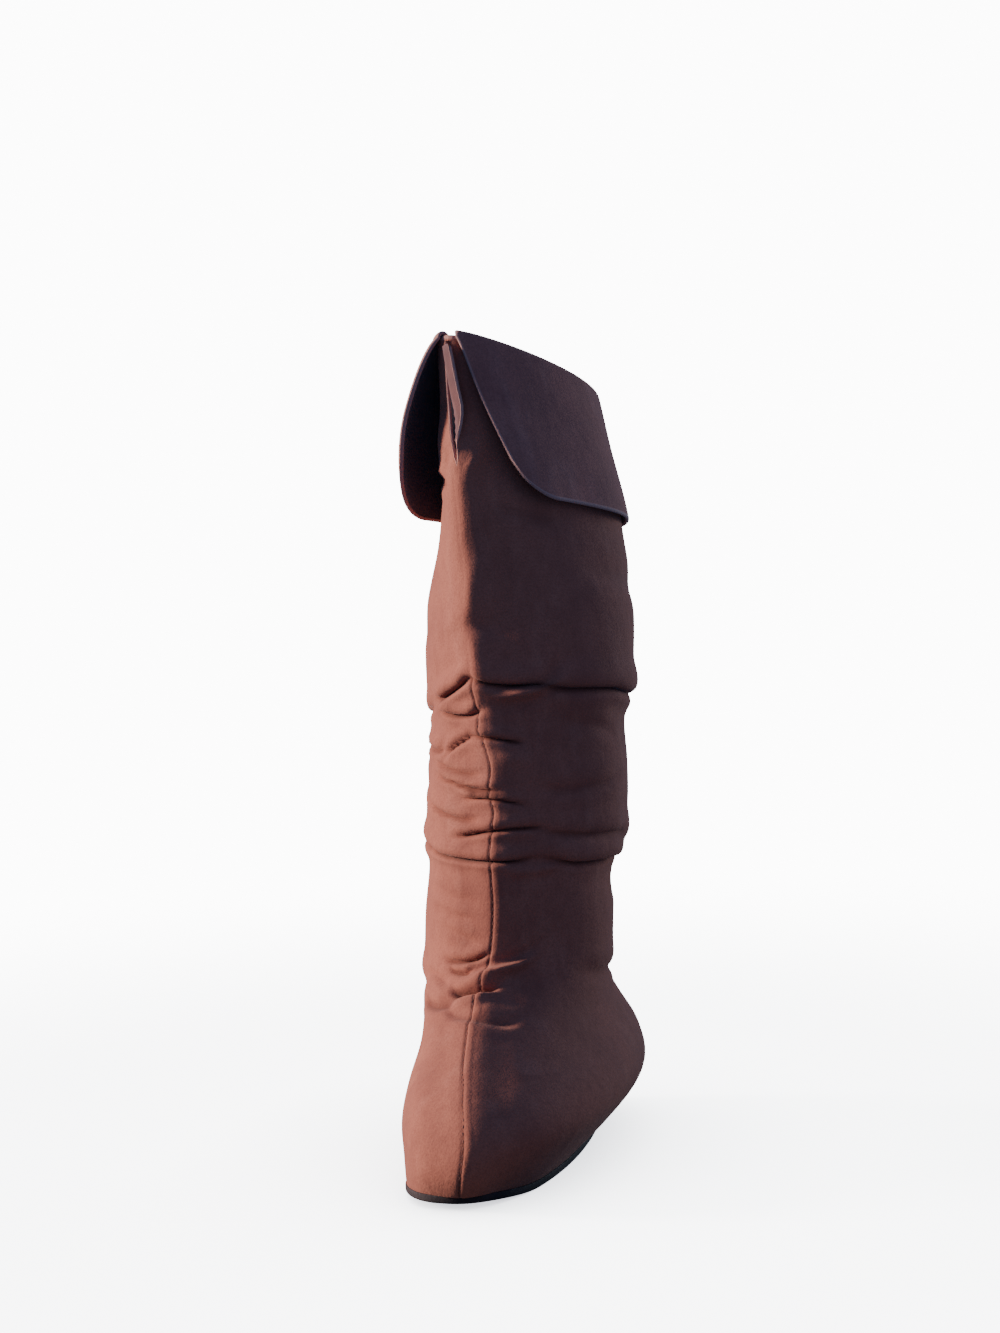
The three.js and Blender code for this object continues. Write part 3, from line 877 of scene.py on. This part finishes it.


# %% [markdown]
# A recipe is one material. It starts with the surface shader, gets its noises and marks by name, and lays
# colours over one another, most like dye and dust on the real thing, and some as painted shade in hollows.

# %% Materials as recipes


class Recipe:
    """One material's node tree, with the surface shader ready to be filled."""

    ROUGH = 0.6

    def __init__(self, name, **constants):
        self.material = bpy.data.materials.new(name)
        self.material.use_nodes = True
        self.tree = self.material.node_tree
        self.tree.nodes.clear()
        self.surface = self.tree.nodes.new("ShaderNodeBsdfPrincipled")
        result = self.tree.nodes.new("ShaderNodeOutputMaterial")
        self.tree.links.new(self.surface.outputs[0], result.inputs["Surface"])
        for key, value in constants.items():
            self.surface.inputs[key.replace("_", " ")].default_value = value

    def fill(self, target, key, value):
        """Links a socket to another's output, or sets it to a number or a colour."""
        if isinstance(value, Socket):
            self.tree.links.new(value.output, target.inputs[key])
        else:
            target.inputs[key].default_value = value

    def node(self, kind, settings=None, inputs=None, output=0):
        """A node of any type: its settings first, then the values or links of its sockets."""
        node = self.tree.nodes.new(kind)
        for key, value in (settings or {}).items():
            setattr(node, key, value)
        for key, value in (inputs or {}).items():
            self.fill(node, key, value)
        return Socket(self, node.outputs[output])

    def place(self):
        """The point's place on the piece, in metres."""
        return self.node("ShaderNodeTexCoord", output="Object")

    def noise(self, scale, detail, tall=1.0):
        """Noise on the piece's own place; a value of tall under 1 draws it out along the height."""
        mapped = self.node("ShaderNodeMapping", None, {"Vector": self.place(), "Scale": (1, 1, tall)})
        inputs = {"Vector": mapped, "Scale": scale, "Detail": detail, "Roughness": self.ROUGH}
        return self.node("ShaderNodeTexNoise", {"noise_dimensions": "3D"}, inputs, output="Fac")

    def noises(self, sizes):
        """Several noises by name, each from its size, detail and stretch."""
        return {layer: self.noise(*size) for layer, size in sizes.items()}

    def mark(self, name):
        """A mark that the mesh carries on its points."""
        return self.node("ShaderNodeAttribute", {"attribute_name": name}, output="Fac")

    def mix(self, share, first, second):
        """A colour between two others."""
        settings = {"data_type": "RGBA", "clamp_factor": True}
        return self.node("ShaderNodeMix", settings, {0: share, 6: first, 7: second}, output=2)

    def between(self, value, low, high, to_low=0.0, to_high=1.0):
        """A soft step: to_low where the value is at low, to_high where it is at high."""
        inputs = {"Value": value, "From Min": low, "From Max": high, "To Min": to_low, "To Max": to_high}
        return self.node("ShaderNodeMapRange", {"interpolation_type": "SMOOTHSTEP"}, inputs)

    def lay(self, colour, layers, sources, shades):
        """Lays colours over one another: each is full where its source passes from one value to another."""
        for layer, start, full, strength, shade in layers:
            colour = self.mix(self.between(sources[layer], start, full) * strength, colour, shades[shade])
        return colour

    def bump(self, height, strength, deep):
        """The normal tilted by a height; deep is in metres."""
        return self.node("ShaderNodeBump", None, {"Strength": strength, "Distance": deep, "Height": height})

    def finish(self, **links):
        """Links what varies to the surface shader, and gives the material."""
        for key, value in links.items():
            self.fill(self.surface, key.replace("_", " "), value)
        print("finish", self.material.name, len(self.tree.nodes), "nodes")
        return self.material


# %% Colours
WHOLE = 255
DARKEST = {"up to": 0.04045, "over": 12.92}
CURVE = {"plus": 0.055, "power": 2.4}


def tone(red, green, blue):
    """A colour from its everyday values out of 255, brought to the linear values that shaders use.

    The standard curve: the darkest values are divided, and the others go by a power.
    """
    share = np.array([red, green, blue]) / WHOLE
    curved = ((share + CURVE["plus"]) / (1 + CURVE["plus"])) ** CURVE["power"]
    linear = np.where(share <= DARKEST["up to"], share / DARKEST["over"], curved)
    return (*[float(v) for v in linear], 1.0)


print("a warm brown in linear values", [round(v, 3) for v in tone(172, 101, 80)[:3]])

# %% [markdown]
# Suede is the flesh side of a hide, sanded to a short nap. It has no gloss, but a soft glow where the nap is
# seen from the side, which the shader calls sheen. Hands brush the nap one way and another, and that leaves
# cloudy darker and lighter patches. A picture of suede would repeat and hold its own light, so this is noise
# of several sizes, laid over each other. On top come three marks that the mesh carries: the bottoms of folds
# and the seam's groove are darkened as painted shade, and the cut edge is pale.

# %% The suede
# how big the noise is (more is finer), its detail, and how it is drawn out along the height
GRAIN = {
    "clouds": (16, 4, 1),
    "strokes": (55, 6, 0.3),
    "mottle": (130, 4, 1),
    "nap": (850, 5, 1),
    "fibres": (2600, 2, 0.4),
}
# what is laid on, where it starts and is full, how strong it is, and its colour
LAYERS = (
    ("strokes", 0.48, 0.72, 0.35, "pale"),
    ("mottle", 0.55, 0.35, 0.22, "dark"),
    ("nap", 0.6, 0.35, 0.4, "dark"),
    ("fibres", 0.5, 0.75, 0.25, "pale"),
    # painted shade: fold bottoms and the seam's groove take the deep colour
    ("crease_shade", 0.6, 3.4, 0.7, "deep"),
    ("seam", 0.2, 0.9, 0.8, "deep"),
    ("cut", 0.1, 0.7, 0.75, "edge"),
)
CLOUDS = {"from": 0.3, "to": 0.62, "part": 0.55}
ROUGHNESS = {"clouds from": 0.2, "clouds to": 0.8, "least": 0.86, "most": 0.97}
HEIGHTS = {"nap": 0.7, "mottle": 1.0, "strokes": 1.4, "fibres": 0.15}
PAINTED_SHADE = 0.5
NAP = {"strength": 0.6, "deep": 0.0007}
SUEDE = {"Sheen_Weight": 0.25, "Sheen_Roughness": 0.4, "Specular_IOR_Level": 0.15}
RAW_EDGE = tone(198, 142, 126)


def suede(name, base, dark, pale):
    """Suede of a base colour with a darker and a paler one brushed in, and bump from its nap and strokes."""
    recipe = Recipe(name, Sheen_Tint=tone(225, 180, 165), **SUEDE)
    shades = {"dark": dark, "pale": pale, "edge": RAW_EDGE}
    # the deep colour is painted shade: the dark colour made darker still
    shades["deep"] = tuple(PAINTED_SHADE * value for value in dark[:3]) + (1.0,)
    grain = recipe.noises(GRAIN)
    marks = {layer: recipe.mark(layer) for layer in ("crease_shade", "seam", "cut")}
    clouds = recipe.between(grain["clouds"], CLOUDS["from"], CLOUDS["to"])
    colour = recipe.mix(clouds * CLOUDS["part"] + (1 - CLOUDS["part"]), dark, base)
    colour = recipe.lay(colour, LAYERS, {**grain, **marks}, shades)
    height = 0
    for layer, share in HEIGHTS.items():
        height = grain[layer] * share + height
    bump = recipe.bump(height, **NAP)
    roughness = recipe.between(grain["clouds"], *ROUGHNESS.values())
    return recipe.finish(Base_Color=colour, Roughness=roughness, Normal=bump)


suede_body = suede("suede", tone(172, 101, 80), tone(136, 74, 60), tone(192, 122, 99))
# the cuff's suede is a lighter copy of the body's, painted light that brightens the cuff's shaded face
cuff_suede_painted_light = suede("cuff_suede", tone(182, 110, 92), tone(134, 78, 70), tone(200, 132, 114))

# %% [markdown]
# The other finishes are plainer. The lining and the insole are brushed cloth, matt and fleecy, and pale where
# they are cut. The sole is thin matt rubber with a pebbled grain, and the thread takes the same recipe in a
# lighter colour, because at its size only the colour and the matt surface count.

# %% Lining, sole and insole finishes
CLOTH = {"Sheen_Weight": 0.2, "Sheen_Roughness": 0.5}
CLOTH_ROUGH = 0.95
CLOTH_GRAIN = {"clouds": (30, 4), "fleece": (1400, 4)}
CLOTH_LAYERS = (
    ("clouds", 0.3, 0.7, 1, "base"),
    ("fleece", 0.4, 0.6, 0.3, "dark"),
    ("cut", 0.1, 0.7, 0.75, "edge"),
)
FLEECE = {"strength": 0.4, "deep": 0.0005}
RUBBER = {"Specular_IOR_Level": 0.35}
RUBBER_GRAIN = {"clouds": (40, 5), "pebbles": (700, 3)}
RUBBER_LAYERS = (("clouds", 0.35, 0.7, 1, "base"),)
RUBBER_ROUGH = {"from": 0.3, "to": 0.7, "least": 0.7, "most": 0.9}
PEBBLES = {"strength": 0.5, "deep": 0.0004}


def brushed_cloth(name, base, dark):
    """A soft lining: cloudy colour with a fine fleecy bump, and pale where it is cut."""
    recipe = Recipe(name, **CLOTH)
    grain = recipe.noises(CLOTH_GRAIN)
    shades = {"base": base, "dark": dark, "edge": RAW_EDGE}
    colour = recipe.lay(dark, CLOTH_LAYERS, {**grain, "cut": recipe.mark("cut")}, shades)
    bump = recipe.bump(grain["fleece"], **FLEECE)
    return recipe.finish(Base_Color=colour, Roughness=CLOTH_ROUGH, Normal=bump)


def crepe(name, base, dark):
    """Thin matt rubber, with a fine pebbled grain and dusty patches."""
    recipe = Recipe(name, **RUBBER)
    grain = recipe.noises(RUBBER_GRAIN)
    colour = recipe.lay(dark, RUBBER_LAYERS, grain, {"base": base})
    roughness = recipe.between(grain["pebbles"], *RUBBER_ROUGH.values())
    bump = recipe.bump(grain["pebbles"], **PEBBLES)
    return recipe.finish(Base_Color=colour, Roughness=roughness, Normal=bump)


lining = brushed_cloth("lining", tone(128, 74, 66), tone(92, 54, 50))
# the cuff's lining is a darker, cooler copy of the lining: painted shade on the cuff's face towards the leg
cuff_lining_painted_shade = brushed_cloth("cuff_lining_painted_shade", tone(80, 56, 60), tone(60, 44, 50))
insole_cloth = brushed_cloth("insole_cloth", tone(140, 100, 84), tone(108, 74, 62))
sole_rubber = crepe("sole", tone(66, 48, 46), tone(44, 32, 32))
thread = crepe("thread", tone(140, 84, 70), tone(108, 62, 52))
finishes = {
    upper: (suede_body, lining),
    cuff: (cuff_lining_painted_shade, cuff_suede_painted_light),
    sole: (sole_rubber,),
    insole: (insole_cloth,),
    seam_stitches: (thread,),
}
for piece, materials in finishes.items():
    for material in materials:
        piece.data.materials.append(material)

# %% [markdown]
# The light is the photograph's: a low sun lamp from the left, which the crest of the front seam stops, and
# little else. Its disc is wide, so the shadows are soft. A weak bluish lamp keeps the far side readable, and
# a cool one behind the heel draws the outline.

# %% The light
SUN = {"turn": np.radians(-80), "high": np.radians(17), "soft": np.radians(12), "power": 7.0}
SUN_COLOUR = (1.0, 0.93, 0.88)
# name, place and aim in metres, size, power, colour
LAMPS = (
    ("rim", (1.1, 1.7, 0.6), (0, 0, 0.2), 0.7, 12, (0.75, 0.95, 1.0)),
    ("fill", (1.9, -0.9, 1.2), (0, 0, 0.35), 1.4, 1.7, (0.68, 0.76, 1.0)),
)


def lamp(name, kind, power, colour, towards):
    """A lamp of a kind that shines in one direction; a lamp in Blender shines along its own -Z."""
    made = bpy.data.objects.new(name, bpy.data.lights.new(name, kind))
    made.data.energy = power
    made.data.color = colour
    made.rotation_euler = Vector(towards).to_track_quat("-Z", "Y").to_euler()
    bpy.context.scene.collection.objects.link(made)
    return made


level = np.cos(SUN["high"])
sun_from = np.array([np.sin(SUN["turn"]) * level, -np.cos(SUN["turn"]) * level, np.sin(SUN["high"])])
lamp("key", "SUN", SUN["power"], SUN_COLOUR, -sun_from).data.angle = SUN["soft"]
for name, at, aim, size, power, colour in LAMPS:
    disk = lamp(name, "AREA", power, colour, Vector(aim) - Vector(at))
    disk.data.shape = "DISK"
    disk.data.size = size
    disk.location = at
print("key from", sun_from.round(2), "and", len(LAMPS), "lamps")

# %% [markdown]
# The room around is white where the camera sees it, and a weak blue where it lights the boot. A Light Path
# node tells the two apart. The floor does the same: it fades into the white a little way off, so no horizon
# cuts the picture, and it throws only a little light back up, as dark paper would.

# %% The room
ROOM_SEEN = (1.0, 1.0, 1.0, 1)
ROOM_LIGHT = (0.18, 0.40, 1.0, 1)
SEEN_STRENGTH = 12
LIGHT_STRENGTH = 0.4
FADE_FROM = 0.35
FADE_TO = 1.1
world = bpy.data.worlds.new("studio")
world.use_nodes = True
bpy.context.scene.world = world
seen = world.node_tree.nodes["Background"]
seen.inputs["Color"].default_value = ROOM_SEEN
seen.inputs["Strength"].default_value = SEEN_STRENGTH
lit = world.node_tree.nodes.new("ShaderNodeBackground")
lit.inputs["Color"].default_value = ROOM_LIGHT
lit.inputs["Strength"].default_value = LIGHT_STRENGTH
ray = world.node_tree.nodes.new("ShaderNodeLightPath")
choose = world.node_tree.nodes.new("ShaderNodeMixShader")
links = world.node_tree.links
links.new(ray.outputs["Is Camera Ray"], choose.inputs[0])
links.new(lit.outputs[0], choose.inputs[1])
links.new(seen.outputs[0], choose.inputs[2])
links.new(choose.outputs[0], world.node_tree.nodes["World Output"].inputs["Surface"])
print("room seen at", SEEN_STRENGTH, "and lighting at", LIGHT_STRENGTH)

# %% The floor
FLOOR_HALF = 1500.0
FLOOR_DROP = 0.2
FLOOR_GLOW = 7.0
FLOOR_ROUGH = 0.95
PAINTED_SHADOW_REACH = 0.16
CORNER_SAMPLES = 8
PAINTED_SHADOW, OPEN_SHADE = (0.16, 0.16, 0.18, 1), (1, 1, 1, 1)
GLOW_UNSEEN = (0.002, 0.003, 0.004, 1)
PAPER_UNSEEN, PAPER_SEEN = (0.12, 0.12, 0.12, 1), (0.9, 0.9, 0.9, 1)
corners = np.array([[-1, -1, 0], [1, -1, 0], [1, 1, 0], [-1, 1, 0]]) * FLOOR_HALF
floor = make_mesh("floor", corners - [0, 0, FLOOR_DROP], np.array([[0, 1, 2, 3]]), {})
paper = Recipe("floor_paper", Roughness=FLOOR_ROUGH, Emission_Strength=FLOOR_GLOW)
far = paper.node("ShaderNodeVectorMath", {"operation": "LENGTH"}, {0: paper.place()}, output="Value")
looked_at = paper.node("ShaderNodeLightPath", output="Is Camera Ray")
near = 1 - paper.between(far, FADE_FROM, FADE_TO)
corner = {"Distance": PAINTED_SHADOW_REACH}
# an ambient occlusion node dims the floor's glow near the boot: a painted contact shadow
shade = paper.node("ShaderNodeAmbientOcclusion", {"samples": CORNER_SAMPLES}, corner, output="AO")
glow = paper.mix(looked_at, GLOW_UNSEEN, paper.mix(shade, PAINTED_SHADOW, OPEN_SHADE))
sheet = paper.mix(looked_at, PAPER_UNSEEN, PAPER_SEEN)
floor.data.materials.append(paper.finish(Base_Color=sheet, Alpha=near, Emission_Color=glow))

# %% [markdown]
# Last, each piece is hung on the root body, and the solid that it takes the place of is hidden.

# %% Hand over the pieces
stands_for = (
    (upper, "upper", "suede"),
    (cuff, "cuff", "cuff_suede"),
    (sole, "outsole", "sole"),
    (insole, "insole", "lining"),
)
for piece, node, slot in stands_for:
    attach(piece, "root")
    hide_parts(node)
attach(seam_stitches, "root")
